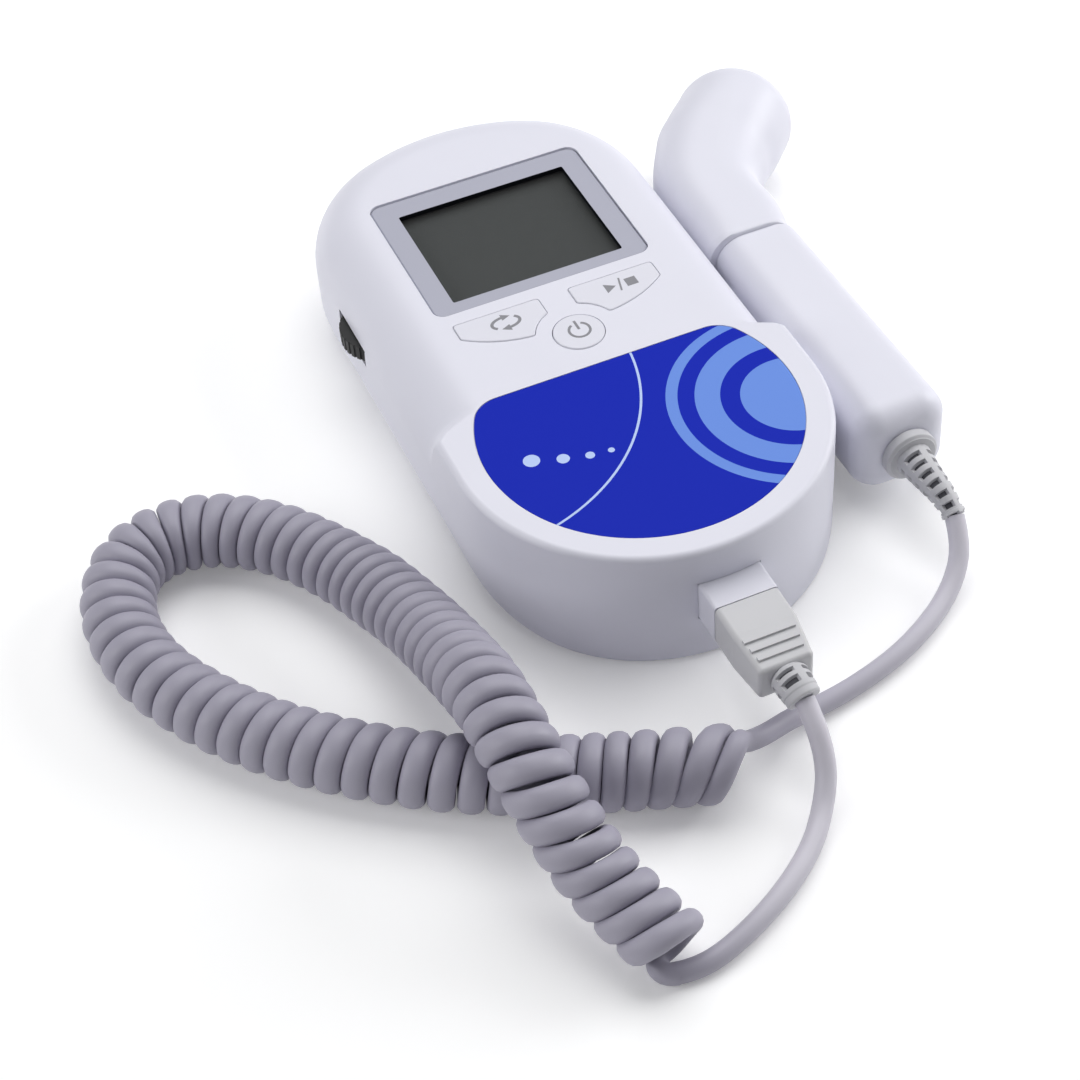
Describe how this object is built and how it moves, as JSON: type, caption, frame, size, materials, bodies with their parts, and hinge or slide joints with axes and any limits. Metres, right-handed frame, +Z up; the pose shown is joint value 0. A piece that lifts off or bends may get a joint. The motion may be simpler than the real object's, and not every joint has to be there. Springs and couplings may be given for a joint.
{
  "type": "fetal doppler monitor",
  "caption": "Pocket fetal doppler monitor with display, keys, volume wheel and battery door, its probe beside it on a coiled plug-in cord.",
  "frame": {"origin": "middle of the casing's length on its centre plane, on the flat underside", "axes": "+Z up out of the display face, +Y towards the display end, +X towards the probe's side"},
  "size_m": [0.1735, 0.194, 0.0268],
  "materials": {
    "case": "satin off-white ABS with a faint lavender cast",
    "bezel": "satin lavender grey",
    "window": "clear acrylic",
    "lcd": "dark grey display glass",
    "tray": "white moulded tray",
    "elastomer": "striped contact rubber",
    "label": "printed polyester overlay, deep blue",
    "key": "satin key caps",
    "mat": "silicone keypad",
    "board": "green solder mask",
    "chip": "black epoxy",
    "screw": "zinc plated",
    "wheel": "black",
    "pot": "black moulded body",
    "jack": "black moulded socket",
    "socket": "off-white",
    "gold": "gold plated",
    "speaker": "black pressed basket",
    "paper": "black paper",
    "magnet": "plated magnet cup",
    "cell": "plain cell sleeve",
    "spring": "nickel plated",
    "lens": "acoustic window, smooth",
    "ceramic": "fired ceramic",
    "boot": "grey flexible sleeve",
    "plug": "grey overmould",
    "cord": "lavender grey satin jacket"
  },
  "bodies": {
    "main": {"front_case": "case", "rear_case": "case", "lcd_bezel": "bezel", "lcd_window": "window", "lcd_panel": "lcd", "lcd_tray": "tray", "lcd_strip": "elastomer", "label_panel": "label", "keypad_mat": "mat", "main_board": "board", "board_chips": "chip", "board_screws": "screw", "case_screws": "screw", "volume_pot": "pot", "headphone_jack": "jack", "speaker_frame": "speaker", "speaker_cone": "paper", "speaker_magnet": "magnet", "battery_left": "cell", "battery_right": "cell", "battery_springs": "spring", "battery_plates": "spring", "socket_housing": "socket", "socket_contacts": "gold", "probe_cradle": "case", "cord_probe_lead": "cord", "cord_coil": "cord", "cord_plug_lead": "cord"},
    "mode_key": {"mode_button": "key"},
    "start_key": {"start_stop_button": "key"},
    "power_key": {"power_button": "key"},
    "volume": {"volume_wheel": "wheel"},
    "battery_cover": {"battery_door": "case"},
    "probe": {"probe_handle": "case", "probe_head": "case", "probe_lens": "lens", "transducer_disc": "ceramic", "probe_board": "board", "probe_boot": "boot"},
    "plug": {"plug_body": "plug", "plug_boot": "boot", "plug_contacts": "jack"}
  },
  "joints": [
    {"name": "mode_press", "type": "slide", "parent": "main", "child": "mode_key", "axis": [0, 0, -1], "range_m": [0, 0.0006], "stiffness_N_per_m": 2500, "springref_m": -0.0002},
    {"name": "start_stop_press", "type": "slide", "parent": "main", "child": "start_key", "axis": [0, 0, -1], "range_m": [0, 0.0006], "stiffness_N_per_m": 2500, "springref_m": -0.0002},
    {"name": "power_press", "type": "slide", "parent": "main", "child": "power_key", "axis": [0, 0, -1], "range_m": [0, 0.0006], "stiffness_N_per_m": 2500, "springref_m": -0.0002},
    {"name": "volume_turn", "type": "hinge", "parent": "main", "child": "volume", "pos_m": [-0.0282, 0.0225, 0.015], "axis": [0, 0, 1], "range_deg": [-140, 140]},
    {"name": "battery_door_slide", "type": "slide", "parent": "main", "child": "battery_cover", "axis": [0, 1, 0], "range_m": [0, 0.06]},
    {"name": "probe_lift", "type": "slide", "parent": "main", "child": "probe", "axis": [0, 0, 1], "range_m": [0, 0.03], "deforming": ["cord_probe_lead"]},
    {"name": "plug_pull", "type": "slide", "parent": "main", "child": "plug", "axis": [0, -1, 0], "range_m": [0, 0.008], "deforming": ["cord_plug_lead"]}
  ]
}
